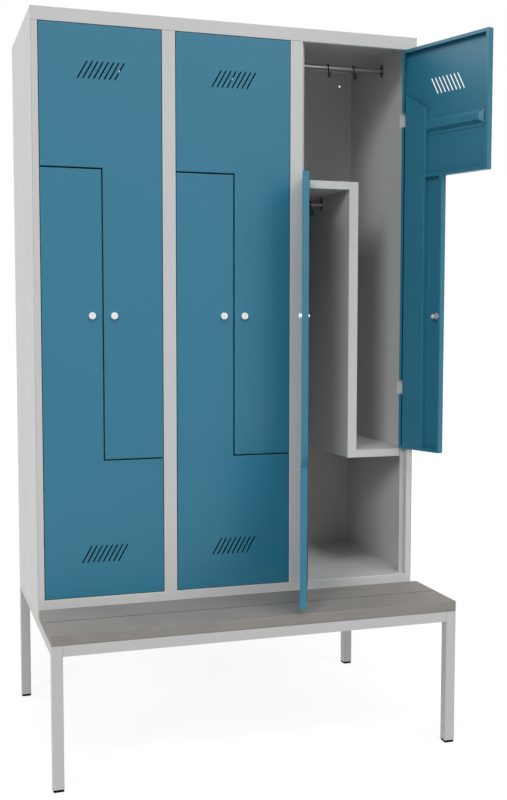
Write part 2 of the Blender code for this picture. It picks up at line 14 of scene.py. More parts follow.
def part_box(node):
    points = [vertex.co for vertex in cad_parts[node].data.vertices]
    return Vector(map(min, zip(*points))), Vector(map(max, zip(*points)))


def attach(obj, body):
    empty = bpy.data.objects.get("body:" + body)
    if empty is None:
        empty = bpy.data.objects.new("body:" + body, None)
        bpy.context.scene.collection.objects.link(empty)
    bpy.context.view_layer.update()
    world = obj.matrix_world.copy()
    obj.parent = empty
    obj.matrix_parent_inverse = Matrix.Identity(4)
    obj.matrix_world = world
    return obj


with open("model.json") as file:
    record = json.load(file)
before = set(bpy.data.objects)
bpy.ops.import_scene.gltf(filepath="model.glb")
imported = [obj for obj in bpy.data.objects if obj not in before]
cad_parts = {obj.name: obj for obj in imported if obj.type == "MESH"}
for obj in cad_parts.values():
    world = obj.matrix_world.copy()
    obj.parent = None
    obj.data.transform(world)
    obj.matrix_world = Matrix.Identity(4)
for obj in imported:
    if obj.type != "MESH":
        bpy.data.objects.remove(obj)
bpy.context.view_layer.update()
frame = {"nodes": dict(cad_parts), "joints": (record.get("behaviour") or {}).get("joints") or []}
LOG = logging.getLogger("locker_with_bench")

Colour = tuple[float, float, float, float]
Triple = tuple[float, float, float]
Feed = bpy.types.NodeSocket | float | Colour

LEVELS = ("upper", "lower")
BAYS = (1, 2, 3)

# The bench frame, its tubes and the joint of its seat, in metres
BENCH_LOW, BENCH_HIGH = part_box("bench_frame")
HALF_TUBE = 0.015
LEG_ACROSS = (BENCH_LOW.x + HALF_TUBE, BENCH_HIGH.x - HALF_TUBE)
LEG_DEPTH = (BENCH_LOW.y + HALF_TUBE, BENCH_HIGH.y - HALF_TUBE)
MIDDLE_RAIL_DEPTH = 0.302
FRAME_TOP = BENCH_HIGH.z
RAIL_UNDERSIDE = FRAME_TOP - 2 * HALF_TUBE
SLAT_JOINT = (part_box("seat_slat_front")[1].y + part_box("seat_slat_rear")[0].y) / 2


def grey(level: float) -> Colour:
    """A grey without a tint."""
    return (level, level, level, 1.0)


def darker(colour: Colour, share: float) -> Colour:
    """A colour at a share of its brightness."""
    return (*(share * part for part in colour[:3]), 1.0)


class Slot(Enum):
    """Finishes that the record names."""

    FRAME = "frame_paint"
    DOOR = "door_paint"
    SEAT = "seat_board"
    FOOT = "foot_rubber"
    LOCK = "bright_steel"
    RAIL = "rail_steel"
    HOOK = "dark_wire"


# Sockets of the mix node that carry its share and its colours, and its mixed colour
COLOUR_MIX_INPUTS = (0, 6, 7)
COLOUR_MIX_OUTPUT = 2


class Wiring:
    """Places nodes in one tree and joins them."""

    def __init__(self, tree: bpy.types.NodeTree) -> None:
        """Keeps the tree that is wired."""
        self.tree = tree

    def node(self, kind: str, **settings: object) -> bpy.types.Node:
        """Adds a node.

        Args:
            kind: The node's type name.
            settings: Its properties, and by in_NAME the values of its inputs.

        Returns:
            The node.
        """
        made = self.tree.nodes.new(kind)
        for key, value in settings.items():
            if key.startswith("in_"):
                made.inputs[key[3:].replace("_", " ")].default_value = value
            else:
                setattr(made, key, value)
        return made

    def join(self, source: bpy.types.NodeSocket, target: bpy.types.NodeSocket) -> None:
        """Joins an output to an input."""
        self.tree.links.new(source, target)

    def feed(self, target: bpy.types.NodeSocket, value: Feed) -> None:
        """Fills an input.

        Args:
            target: The input.
            value: An output to join to it, or a value of its own.
        """
        if isinstance(value, bpy.types.NodeSocket):
            self.join(value, target)
        else:
            target.default_value = value

    def math(self, operation: str, first: Feed, second: Feed | None = None) -> bpy.types.NodeSocket:
        """Adds one sum.

        Args:
            operation: Which sum.
            first: An output or a number.
            second: Another one, where the sum needs it.

        Returns:
            The output with the result.
        """
        made = self.node("ShaderNodeMath", operation=operation)
        self.feed(made.inputs[0], first)
        if second is not None:
            self.feed(made.inputs[1], second)
        return made.outputs[0]

    def spread(self, value: bpy.types.NodeSocket, low: float, high: float,
               to_low: float = 0.0, to_high: float = 1.0) -> bpy.types.NodeSocket:
        """Maps a range of values to another range.

        Args:
            value: The output to map.
            low: Lower end of its range.
            high: Upper end of its range.
            to_low: What the lower end becomes.
            to_high: What the upper end becomes.

        Returns:
            The output with the mapped value.
        """
        made = self.node("ShaderNodeMapRange")
        for target, given in zip(made.inputs, (value, low, high, to_low, to_high)):
            self.feed(target, given)
        return made.outputs[0]

    def tint(self, share: Feed, first: Feed, second: Feed) -> bpy.types.NodeSocket:
        """Mixes two colours.

        Args:
            share: Share of the second colour, an output or a number.
            first: A colour or an output.
            second: Another one.

        Returns:
            The output with the mixed colour.
        """
        made = self.node("ShaderNodeMix", data_type="RGBA")
        for index, given in zip(COLOUR_MIX_INPUTS, (share, first, second)):
            self.feed(made.inputs[index], given)
        return made.outputs[COLOUR_MIX_OUTPUT]

    def noise(self, place: bpy.types.NodeSocket, scale: Feed, detail: float,
              roughness: float = 0.5) -> bpy.types.NodeSocket:
        """Adds a noise.

        Args:
            place: The place at which it is read.
            scale: Its scale, an output or a number.
            detail: How many finer layers it has.
            roughness: How much the finer layers count.

        Returns:
            The output with its value.
        """
        made = self.node("ShaderNodeTexNoise", in_Detail=detail, in_Roughness=roughness)
        self.join(place, made.inputs["Vector"])
        self.feed(made.inputs["Scale"], scale)
        return made.outputs["Fac"]

    def parts(self, vector: bpy.types.NodeSocket) -> bpy.types.Node:
        """Splits a vector.

        Args:
            vector: The output with the vector.

        Returns:
            The node with the outputs X, Y and Z.
        """
        made = self.node("ShaderNodeSeparateXYZ")
        self.join(vector, made.inputs[0])
        return made


# The paint's skin: scale of its cells against the peel's, width of their rim, and their height
CELL_SCALE = 0.6
CELL_RIM = 0.25
CELL_HEIGHT = 0.25

# Settled dust and painted top light: how far up a face has to look, and how much of it the patches
# leave
UP_FACING_SLOPE = (0.6, 1.0)
PATCH_NOISE = (0.35, 0.75)
PATCH_SHARE = (0.38, 0.72)

# Seams of painted shade on the bench's front, in metres: how far they reach in from it, and their
# half width
SEAM_REACH = 0.0005
SEAM_HALF_WIDTH = 0.0009


class ShaderGroups:
    """Effects that several finishes share, each built once as a node group."""

    def __init__(self) -> None:
        """Builds all groups."""
        self.powder_skin = self._powder_skin()
        self.dust_and_top_light = self._dust_and_top_light()
        self.butt_seam = self._butt_seam()

    @staticmethod
    def _begin(name: str, inputs: dict[str, float],
               outputs: tuple[str, ...]) -> tuple[Wiring, bpy.types.Node, bpy.types.Node]:
        """Starts a group with its sockets.

        Args:
            name: The group's name.
            inputs: Names and values of its number inputs; it always has the input Position.
            outputs: Names of its number outputs.

        Returns:
            Its wiring, input node and output node.
        """
        tree = bpy.data.node_groups.new(name, "ShaderNodeTree")
        tree.interface.new_socket("Position", in_out="INPUT", socket_type="NodeSocketVector")
        for label, value in inputs.items():
            made = tree.interface.new_socket(label, in_out="INPUT", socket_type="NodeSocketFloat")
            made.default_value = value
        for label in outputs:
            tree.interface.new_socket(label, in_out="OUTPUT", socket_type="NodeSocketFloat")
        wiring = Wiring(tree)
        return wiring, wiring.node("NodeGroupInput"), wiring.node("NodeGroupOutput")

    def _powder_skin(self) -> bpy.types.NodeTree:
        """Orange peel of a powder coat, with faint clouds in its tone and gloss.

        Returns:
            The group's tree.
        """
        wiring, given, out = self._begin(
            "powder_skin", {"Grain Size": 0.0012, "Cloud Size": 0.25}, ("Height", "Cloud", "Cell"))
        place = given.outputs["Position"]
        grain_scale = wiring.math("DIVIDE", 1.0, given.outputs["Grain Size"])
        cloud_scale = wiring.math("DIVIDE", 1.0, given.outputs["Cloud Size"])
        peel = wiring.noise(place, grain_scale, detail=2.0, roughness=0.55)
        cloud = wiring.noise(place, cloud_scale, detail=3.0, roughness=0.6)
        cells = wiring.node("ShaderNodeTexVoronoi", feature="DISTANCE_TO_EDGE")
        wiring.join(place, cells.inputs["Vector"])
        wiring.join(wiring.math("MULTIPLY", grain_scale, CELL_SCALE), cells.inputs["Scale"])
        cell = wiring.spread(cells.outputs["Distance"], 0.0, CELL_RIM)
        raised = wiring.math("MULTIPLY", cell, CELL_HEIGHT)
        wiring.join(wiring.math("ADD", peel, raised), out.inputs["Height"])
        wiring.join(cloud, out.inputs["Cloud"])
        wiring.join(cell, out.inputs["Cell"])
        return wiring.tree

    def _dust_and_top_light(self) -> bpy.types.NodeTree:
        """Thin dust and painted top light on faces that look up, broken by noise.

        Returns:
            The group's tree.
        """
        wiring, given, out = self._begin("dust_and_top_light", {"Patch Size": 0.08}, ("Mask",))
        facing = wiring.node("ShaderNodeNewGeometry")
        up = wiring.spread(wiring.parts(facing.outputs["Normal"]).outputs["Z"], *UP_FACING_SLOPE)
        patch_scale = wiring.math("DIVIDE", 1.0, given.outputs["Patch Size"])
        patch = wiring.noise(given.outputs["Position"], patch_scale, detail=4.0, roughness=0.65)
        broken = wiring.spread(patch, *PATCH_NOISE, *PATCH_SHARE)
        wiring.join(wiring.math("MULTIPLY", up, broken), out.inputs["Mask"])
        return wiring.tree

    def _butt_seam(self) -> bpy.types.NodeTree:
        """Upright line of painted shade on the bench's front where a rail butts against a leg.

        Returns:
            The group's tree.
        """
        edges = {"Across": HALF_TUBE, "Low": RAIL_UNDERSIDE, "Front": BENCH_LOW.y + SEAM_REACH,
                 "Half Width": SEAM_HALF_WIDTH}
        wiring, given, out = self._begin("butt_seam", edges, ("Mask",))
        place = wiring.parts(given.outputs["Position"])
        aside = wiring.math("SUBTRACT", place.outputs["X"], given.outputs["Across"])
        near = wiring.math("LESS_THAN", wiring.math("ABSOLUTE", aside), given.outputs["Half Width"])
        ahead = wiring.math("LESS_THAN", place.outputs["Y"], given.outputs["Front"])
        above = wiring.math("GREATER_THAN", place.outputs["Z"], given.outputs["Low"])
        on_rail = wiring.math("MULTIPLY", ahead, above)
        wiring.join(wiring.math("MULTIPLY", near, on_rail), out.inputs["Mask"])
        return wiring.tree


class Coat:
    """One material, its Principled shader and the place on the piece that it reads."""

    def __init__(self, name: str, groups: ShaderGroups) -> None:
        """Starts the material.

        Args:
            name: Name of the material.
            groups: The shared node groups.
        """
        self.groups = groups
        self.material = bpy.data.materials.new(name)
        self.material.use_nodes = True
        self.wiring = Wiring(self.material.node_tree)
        self.shader = self.material.node_tree.nodes["Principled BSDF"]
        self.place = self.wiring.node("ShaderNodeTexCoord").outputs["Object"]

    def set(self, label: str, value: Feed) -> None:
        """Fills an input of the shader."""
        self.wiring.feed(self.shader.inputs[label], value)

    def group(self, tree: bpy.types.NodeTree, **values: float) -> bpy.types.Node:
        """Places a shared group, fed with the place on the piece.

        Args:
            tree: The group's tree.
            values: Its number inputs, with _ for a space.

        Returns:
            The group node.
        """
        made = self.wiring.node("ShaderNodeGroup", node_tree=tree)
        self.wiring.join(self.place, made.inputs["Position"])
        for label, value in values.items():
            made.inputs[label.replace("_", " ")].default_value = value
        return made

    def lay_dust_and_top_light(self, tone: bpy.types.NodeSocket, most: float, colour: Colour,
               **values: float) -> bpy.types.NodeSocket:
        """Lays dust and painted top light over a tone, on faces that look up.

        Args:
            tone: The tone.
            most: Most dust and painted top light, as a share.
            colour: The colour of the dust and painted top light.
            values: Number inputs of the group for dust and painted top light.

        Returns:
            The output with the tone under dust and painted top light.
        """
        dust = self.group(self.groups.dust_and_top_light, **values)
        share = self.wiring.math("MULTIPLY", dust.outputs["Mask"], most)
        return self.wiring.tint(share, tone, colour)

    def stretched(self, scale: Triple) -> bpy.types.NodeSocket:
        """Scales the place by axis, for streaks that run one way.

        Args:
            scale: The scale along x, y and z.

        Returns:
            The output with the scaled place.
        """
        made = self.wiring.node("ShaderNodeMapping", in_Scale=scale)
        self.wiring.join(self.place, made.inputs["Vector"])
        return made.outputs["Vector"]

    def bump(self, height: bpy.types.NodeSocket, depth: float) -> None:
        """Lets a height raise the surface.

        Args:
            height: The height from 0 to 1.
            depth: What a height of 1 stands for, in metres.
        """
        made = self.wiring.node("ShaderNodeBump", in_Distance=depth, in_Strength=1.0)
        self.wiring.join(height, made.inputs["Height"])
        self.set("Normal", made.outputs["Normal"])


# Middle range of a noise, which its clouds are read over
CLOUD_NOISE = (0.3, 0.7)

# Powder paint: its dust and painted top light, the height over which its darker tone below the
# bench frame's top fades in, the painted shade in its seams, and what a cell's rim and middle add
# to the roughness
PAINT_DUST_AND_TOP_LIGHT = (0.74, 0.73, 0.71, 1.0)
BELOW_TOP_BLEND = 0.0002
SEAM_SHADE = (0.16, 0.16, 0.155, 1.0)
SEAM_SHADE_SHARE = 0.45
CELL_ROUGHNESS = (0.03, -0.01)


@dataclass(frozen=True)
class PowderCoat:
    """Baked powder paint on sheet steel.

    Args:
        name: Name of the material.
        colour: Its colour.
        pale: The colour in its lightest clouds.
        roughness: Middle roughness.
        sway: How far its clouds shift the roughness either way.
        grain: Width of the orange peel's grain, in metres.
        peel: Height of the orange peel, in metres.
        dust: Most dust and painted top light on faces that look up, as a share.
        below_top_share: Brightness of the frame paint below the bench frame's top, against the
            rest.
        seams: Where rails butt against legs on the bench's front, from the left, each with a line
            of painted shade.
    """

    name: str
    colour: Colour
    pale: Colour
    roughness: float
    sway: float = 0.03
    grain: float = 0.0014
    peel: float = 0.00004
    dust: float = 0.0
    below_top_share: float = 1.0
    seams: tuple[float, ...] = ()

    def make(self, groups: ShaderGroups) -> bpy.types.Material:
        """Builds the material.

        Args:
            groups: The shared node groups.

        Returns:
            The material.
        """
        coat = Coat(self.name, groups)
        wiring = coat.wiring
        skin = coat.group(groups.powder_skin, Grain_Size=self.grain)
        cloud = wiring.spread(skin.outputs["Cloud"], *CLOUD_NOISE)
        tone = wiring.tint(cloud, self.colour, self.pale)
        # Dust and painted top light: faces that look up turn lighter
        if self.dust > 0:
            tone = coat.lay_dust_and_top_light(tone, self.dust, PAINT_DUST_AND_TOP_LIGHT)
        # Darker below the bench frame's top
        if self.below_top_share < 1:
            height = wiring.parts(coat.place).outputs["Z"]
            below = wiring.spread(height, FRAME_TOP, FRAME_TOP + BELOW_TOP_BLEND, 1.0 - self.below_top_share, 0.0)
            tone = wiring.tint(below, tone, grey(0.0))
        # A line of painted shade along each seam where a rail butts against a leg
        for across in self.seams:
            seam = coat.group(groups.butt_seam, Across=across)
            share = wiring.math("MULTIPLY", seam.outputs["Mask"], SEAM_SHADE_SHARE)
            tone = wiring.tint(share, tone, SEAM_SHADE)
        coat.set("Base Color", tone)
        clouded = wiring.spread(skin.outputs["Cloud"], *CLOUD_NOISE,
                                self.roughness + self.sway, self.roughness - self.sway)
        grained = wiring.spread(skin.outputs["Cell"], 0.0, 1.0, *CELL_ROUGHNESS)
        coat.set("Roughness", wiring.math("ADD", clouded, grained))
        coat.bump(skin.outputs["Height"], self.peel)
        return coat.material


# Board: stretch of its grain and pores along x, y and z, and the noise that they are read over
GRAIN_STRETCH = (9.0, 190.0, 190.0)
PORE_STRETCH = (60.0, 900.0, 900.0)
GRAIN_SHARE = 0.6
STREAK_NOISE = (0.36, 0.64)
PORE_NOISE = (0.58, 0.72)
PORE_SHARE = 0.35
PORE_DARKNESS = 0.6
PORE_DEPTH = 0.8
GRAIN_RELIEF = 0.00008

# Board: its dust and painted top light, and the painted shade on both sides of its joint, in metres
# from the joint's middle
BOARD_DUST_AND_TOP_LIGHT = (0.45, 0.412, 0.376, 1.0)
JOINT_SHADE = (0.05, 0.048, 0.045, 1.0)
JOINT_SHADE_REACH = (0.0032, 0.0062)
JOINT_SHADE_SHARE = 0.42


@dataclass(frozen=True)
class LaminatedBoard:
    """Grey laminated seat board with a fine grain along its length.

    Args:
        name: Name of the material.
        colour: Its colour.
        streak: The colour of its darker streaks.
        roughness: Roughness of its palest and of its darkest streaks.
        joint: Where the two boards meet, along y, in metres.
        gloss: Its specular level.
        dust: Most dust and painted top light on faces that look up, as a share.
    """

    name: str
    colour: Colour
    streak: Colour
    roughness: tuple[float, float]
    joint: float
    gloss: float = 0.15
    dust: float = 0.6

    def make(self, groups: ShaderGroups) -> bpy.types.Material:
        """Builds the material.

        Args:
            groups: The shared node groups.

        Returns:
            The material.
        """
        coat = Coat(self.name, groups)
        wiring = coat.wiring
        grain = wiring.noise(coat.stretched(GRAIN_STRETCH), scale=1.0, detail=5.0, roughness=0.62)
        pores = wiring.noise(coat.stretched(PORE_STRETCH), scale=1.0, detail=2.0)
        cloud = wiring.noise(coat.place, scale=5.0, detail=3.0)
        streaks = wiring.math("ADD", wiring.math("MULTIPLY", grain, GRAIN_SHARE),
                              wiring.math("MULTIPLY", cloud, 1.0 - GRAIN_SHARE))
        tone = wiring.tint(wiring.spread(streaks, *STREAK_NOISE), self.colour, self.streak)
        dark = wiring.spread(pores, *PORE_NOISE, 0.0, PORE_SHARE)
        tone = wiring.tint(dark, tone, darker(self.streak, PORE_DARKNESS))
        # Dust and painted top light: faces that look up turn lighter
        tone = coat.lay_dust_and_top_light(tone, self.dust, BOARD_DUST_AND_TOP_LIGHT, Patch_Size=0.15)
        # Painted shade on both sides of the joint between the two boards
        across = wiring.math("SUBTRACT", wiring.parts(coat.place).outputs["Y"], self.joint)
        joint_shade = wiring.spread(wiring.math("ABSOLUTE", across), *JOINT_SHADE_REACH,
                             JOINT_SHADE_SHARE, 0.0)
        coat.set("Base Color", wiring.tint(joint_shade, tone, JOINT_SHADE))
        coat.set("Specular IOR Level", self.gloss)
        coat.set("Roughness", wiring.spread(streaks, *STREAK_NOISE, *self.roughness))
        sunk = wiring.math("MULTIPLY", dark, PORE_DEPTH)
        coat.bump(wiring.math("SUBTRACT", grain, sunk), GRAIN_RELIEF)
        return coat.material


# Metal: its dull spots, and what they and the fine lines add to the roughness
SPOT_SCALE = 140.0
SPOT_NOISE = (0.45, 0.75)
SPOT_DARKNESS = 0.55
SPOT_ROUGHNESS = 0.5
LINE_ROUGHNESS = (-0.06, 0.08)
LINE_RELIEF = 0.00001


@dataclass(frozen=True)
class PlatedSteel:
    """Plated or drawn metal with fine lines in one direction.

    Args:
        name: Name of the material.
        colour: Its colour.
        roughness: Middle roughness.
        lines: Scale of the lines along x, y and z; a small number runs along that axis.
        metal: Its metallic value.
        stain: Share by which its dull spots are darker.
    """

    name: str
    colour: Colour
    roughness: float
    lines: Triple
    metal: float = 1.0
    stain: float = 0.25

    def make(self, groups: ShaderGroups) -> bpy.types.Material:
        """Builds the material.

        Args:
            groups: The shared node groups.

        Returns:
            The material.
        """
        coat = Coat(self.name, groups)
        wiring = coat.wiring
        lines = wiring.noise(coat.stretched(self.lines), scale=1.0, detail=3.0, roughness=0.6)
        spots = wiring.noise(coat.place, SPOT_SCALE, detail=4.0, roughness=0.6)
        dull = wiring.spread(spots, *SPOT_NOISE, 0.0, self.stain)
        coat.set("Base Color", wiring.tint(dull, self.colour, darker(self.colour, SPOT_DARKNESS)))
        coat.set("Metallic", self.metal)
        rough = wiring.math("ADD", wiring.spread(lines, *CLOUD_NOISE, *LINE_ROUGHNESS),
                            wiring.math("MULTIPLY", dull, SPOT_ROUGHNESS))
        coat.set("Roughness", wiring.math("ADD", rough, self.roughness))
        coat.bump(lines, LINE_RELIEF)
        return coat.material


# Plastic: its dust and painted top light, how much paler a scuff is, and the height of its texture
# in metres
PLASTIC_DUST_AND_TOP_LIGHT = (0.3, 0.29, 0.27, 1.0)
SCUFF = 0.004
SPARK_RELIEF = 0.00003


@dataclass(frozen=True)
class MouldedPlastic:
    """Dark moulded plastic with a fine spark-eroded texture.

    Args:
        name: Name of the material.
        colour: Its colour.
        roughness: Middle roughness.
        sway: How far its clouds shift the roughness either way.
        dust: Most dust and painted top light on faces that look up, as a share.
        gloss: Its specular level.
    """

    name: str
    colour: Colour
    roughness: float
    sway: float = 0.06
    dust: float = 0.03
    gloss: float = 0.02

    def make(self, groups: ShaderGroups) -> bpy.types.Material:
        """Builds the material.

        Args:
            groups: The shared node groups.

        Returns:
            The material.
        """
        coat = Coat(self.name, groups)
        wiring = coat.wiring
        skin = coat.group(groups.powder_skin, Grain_Size=0.0006, Cloud_Size=0.02)
        scuffed = (*(part + SCUFF for part in self.colour[:3]), 1.0)
        tone = wiring.tint(skin.outputs["Cloud"], self.colour, scuffed)
        # Dust and painted top light: faces that look up turn lighter
        coat.set("Base Color", coat.lay_dust_and_top_light(tone, self.dust, PLASTIC_DUST_AND_TOP_LIGHT, Patch_Size=0.01))
        coat.set("Specular IOR Level", self.gloss)
        clouded = wiring.spread(skin.outputs["Cloud"], *CLOUD_NOISE,
                                self.roughness - self.sway, self.roughness + self.sway)
        coat.set("Roughness", clouded)
        coat.bump(skin.outputs["Height"], SPARK_RELIEF)
        return coat.material


FINISHES = {
    Slot.FRAME: PowderCoat(
        "light_grey_powder", colour=(0.545, 0.548, 0.541, 1.0), pale=(0.563, 0.569, 0.561, 1.0),
        roughness=0.42, dust=0.55, below_top_share=0.905,
        seams=(LEG_ACROSS[0] + HALF_TUBE, LEG_ACROSS[1] - HALF_TUBE)),
    Slot.DOOR: PowderCoat(
        "petrol_blue_powder", colour=(0.0205, 0.163, 0.257, 1.0), pale=(0.023, 0.170, 0.267, 1.0),
        roughness=0.38),
    Slot.SEAT: LaminatedBoard(
        "grey_laminate", colour=(0.281, 0.269, 0.252, 1.0), streak=(0.240, 0.229, 0.214, 1.0),
        roughness=(0.63, 0.74), joint=SLAT_JOINT),
    Slot.FOOT: MouldedPlastic(
        "black_foot_plastic", colour=(0.005, 0.005, 0.0055, 1.0), roughness=0.6),
    Slot.LOCK: PlatedSteel(
        "nickel_plate", colour=(0.84, 0.835, 0.815, 1.0), roughness=0.30,
        lines=(900.0, 40.0, 900.0), metal=0.7),
    Slot.RAIL: PlatedSteel(
        "zinc_plate", colour=(0.55, 0.55, 0.545, 1.0), roughness=0.34, lines=(12.0, 900.0, 900.0)),
    Slot.HOOK: PlatedSteel(
        "dark_coated_wire", colour=(0.012, 0.012, 0.013, 1.0), roughness=0.45,
        lines=(700.0, 90.0, 90.0), metal=0.2, stain=0.1),
}

# The part of a node's name that tells its finish; the first that fits counts
NODE_FINISHES = {
    "hook_": Slot.HOOK,
    "coat_rail_": Slot.RAIL,
    "foot_": Slot.FOOT,
    "seat_slat_": Slot.SEAT,
    "_lock_": Slot.LOCK,
    "_door_": Slot.DOOR,
}


@dataclass
class Dresser:
    """Gives every carried-over node its finish.

    Args:
        groups: The shared node groups.
    """

    groups: ShaderGroups

    def __post_init__(self) -> None:
        """Builds one material for each finish."""
        self.materials = {slot: finish.make(self.groups) for slot, finish in FINISHES.items()}

    @staticmethod
    def finish_of(node: str) -> Slot:
        """The finish of a node, told by its name; frame paint where nothing else is listed."""
        return next((slot for part, slot in NODE_FINISHES.items() if part in node), Slot.FRAME)

    def wear(self, obj: bpy.types.Object, slot: Slot) -> None:
        """Puts a finish on a piece.

        Args:
            obj: The piece.
            slot: Its finish.
        """
        if not obj.material_slots:
            obj.data.materials.append(None)
        for place in obj.material_slots:
            place.link = "OBJECT"
            place.material = self.materials[slot]

    def dress_nodes(self) -> None:
        """Dresses every node of the frame."""
        for name, obj in frame["nodes"].items():
            self.wear(obj, self.finish_of(name))
            LOG.info("dressed %s", name)


def lock_place(door: str) -> Matrix:
    """Finds a door's lock in the rest pose.

    Args:
        door: The door's name.

    Returns:
        The place of the lock on the door's front, with y towards the door's inner side.
    """
    turn = next(joint for joint in frame["joints"] if joint["name"] == f"{door}_lock_turn")
    across, inward, _ = turn["axis"]
    return (Matrix.Translation(turn["pos_m"])
            @ Matrix.Rotation(math.atan2(-across, inward), 4, "Z"))


# Turns from upright to each way in which a small part can stand out
FACING = {
    "right": Matrix.Rotation(math.pi / 2, 4, "Y"),
    "left": Matrix.Rotation(-math.pi / 2, 4, "Y"),
    "rear": Matrix.Rotation(-math.pi / 2, 4, "X"),
    "down": Matrix.Rotation(math.pi, 4, "X"),
}


@dataclass(frozen=True)
class Head:
    """A screw, bolt or rivet head.

    Args:
        radius: Its radius.
        height: Its height.
        sides: Number of its sides; 6 makes a hexagon.
        recess: Depth of its drive, if it has one.
    """

    radius: float
    height: float
    sides: int = 16
    recess: float = 0.0


# Shares of a head's size: its rounded shoulder, the rim round its drive and the drive's slope
SHOULDER = 0.35
DRIVE_RIM = 0.3
DRIVE_SLOPE = 0.05

# How far apart two heights may be and still count as one, in metres
SAME_HEIGHT = 1e-7

# Weld beads: length of a step in metres, steps in a ripple, and shares of the middle radius
BEAD_STEP = 0.0012
STEPS_IN_RIPPLE = 3
FEWEST_STEPS = 6
RIPPLE_SWELL = 0.14
BEAD_TIP = 0.3
TIP_GROWTH = 8


class Shape:
    """Collects the small solids of one piece."""

    def __init__(self) -> None:
        """Starts empty."""
        self.bm = bmesh.new()

    def head(self, spot: Triple, facing: str, kind: Head) -> None:
        """Adds a head with rounded shoulders.

        Args:
            spot: Middle of its seat.
            facing: Which way it stands out, a key of FACING.
            kind: Its sizes.
        """
        place = Matrix.Translation(spot) @ FACING[facing]
        middle = Matrix.Translation((0.0, 0.0, kind.height / 2))
        bmesh.ops.create_cone(self.bm, cap_ends=True, cap_tris=False, segments=kind.sides,
                              radius1=kind.radius, radius2=kind.radius, depth=kind.height,
                              matrix=place @ middle)
        tip = place @ Vector((0.0, 0.0, kind.height))
        bmesh.ops.bevel(self.bm, geom=list(self._face_at(tip).edges),
                        offset=SHOULDER * min(kind.radius, kind.height), offset_type="OFFSET",
                        segments=3, profile=0.5, affect="EDGES", material=-1)
        if kind.recess > 0:
            crown = self._face_at(tip)
            for share, depth in ((DRIVE_RIM, 0.0), (DRIVE_SLOPE, -kind.recess)):
                bmesh.ops.inset_region(self.bm, faces=[crown], thickness=share * kind.radius,
                                       depth=depth)

    def block(self, middle: Triple, size: Triple, rounding: float) -> None:
        """Adds a block with rounded upright and lower edges.

        Args:
            middle: Its middle.
            size: Its width, depth and height.
            rounding: Radius of its rounded edges.
        """
        place = Matrix.Translation(middle) @ Matrix.Diagonal((*size, 1.0))
        corners = set(bmesh.ops.create_cube(self.bm, size=1.0, matrix=place)["verts"])
        edges = [edge for edge in self.bm.edges if corners.issuperset(edge.verts)]
        soft = [edge for edge in edges if min(vert.co.z for vert in edge.verts) < middle[2]]
        bmesh.ops.bevel(self.bm, geom=soft, offset=rounding, offset_type="OFFSET", segments=4,
                        profile=0.5, affect="EDGES", material=-1)

    def nut(self, spot: Triple, bore: float, flats: float, thickness: float) -> None:
        """Adds a thin hexagon nut with a bore, which faces the rear.

        Args:
            spot: Middle of its seat.
            bore: Radius of its bore.
            flats: Half the width across its flats.
            thickness: Its thickness.
        """
        place = Matrix.Translation(spot) @ FACING["rear"]
        bmesh.ops.create_circle(self.bm, segments=6, radius=flats / math.cos(math.pi / 6),
                                matrix=place)
        bmesh.ops.subdivide_edges(self.bm, edges=self._loose_edges(), cuts=3)
        bmesh.ops.create_circle(self.bm, segments=24, radius=bore, matrix=place)
        ring = bmesh.ops.bridge_loops(self.bm, edges=self._loose_edges())
        self._thicken(ring["faces"], (0.0, thickness, 0.0))

    def bead(self, start: Triple, end: Triple, radius: float) -> None:
        """Adds a weld bead with its ripples.

        Args:
            start: Where it starts.
            end: Where it ends.
            radius: Its middle radius.
        """
        first, last = Vector(start), Vector(end)
        turn = (last - first).to_track_quat("Z", "Y").to_matrix().to_4x4()
        steps = max(FEWEST_STEPS, round((last - first).length / BEAD_STEP))
        tip = bmesh.ops.create_circle(self.bm, cap_ends=True, segments=10, radius=BEAD_TIP * radius,
                                      matrix=Matrix.Translation(first) @ turn)
        cap = tip["verts"][0].link_faces[0]
        size = BEAD_TIP
        for step in range(1, steps + 1):
            share = step / steps
            ripple = 1.0 + RIPPLE_SWELL * math.sin(math.tau * step / STEPS_IN_RIPPLE)
            swell = ripple * min(1.0, TIP_GROWTH * min(share, 1 - share) + BEAD_TIP)
            grown = bmesh.ops.extrude_face_region(self.bm, geom=[cap], use_keep_orig=step == 1)
            if step > 1:
                bmesh.ops.delete(self.bm, geom=[cap], context="FACES_ONLY")
            cap = next(item for item in grown["geom"] if isinstance(item, bmesh.types.BMFace))
            about = Matrix.Translation(-first.lerp(last, share))
            bmesh.ops.translate(self.bm, vec=(last - first) / steps, verts=cap.verts)
            bmesh.ops.scale(self.bm, vec=Vector.Fill(3, swell / size), space=about, verts=cap.verts)
            size = swell

    def oval(self, spot: Triple, facing: str, width: float, height: float,
             thickness: float) -> None:
        """Adds a thin oval plate that stands upright.

        Args:
            spot: Middle of its seat.
            facing: "left" or "right".
            width: Its width in depth.
            height: Its height.
            thickness: Its thickness.
        """
        made = bmesh.ops.create_circle(self.bm, cap_ends=True, segments=24, radius=width / 2,
                                       matrix=Matrix.Translation(spot) @ FACING[facing])
        face = made["verts"][0].link_faces[0]
        for sign in (-1.0, 1.0):
            half = [vert for vert in made["verts"] if (vert.co.z - spot[2]) * sign > SAME_HEIGHT]
            bmesh.ops.translate(self.bm, vec=(0.0, 0.0, sign * (height - width) / 2), verts=half)
        self._thicken([face], (thickness if facing == "right" else -thickness, 0.0, 0.0))

    def _face_at(self, spot: Vector) -> bmesh.types.BMFace:
        """The face whose middle is nearest to a place."""
        return min(self.bm.faces, key=lambda face: (face.calc_center_median() - spot).length)

    def _loose_edges(self) -> list[bmesh.types.BMEdge]:
        """The edges that have no face yet."""
        return [edge for edge in self.bm.edges if not edge.link_faces]

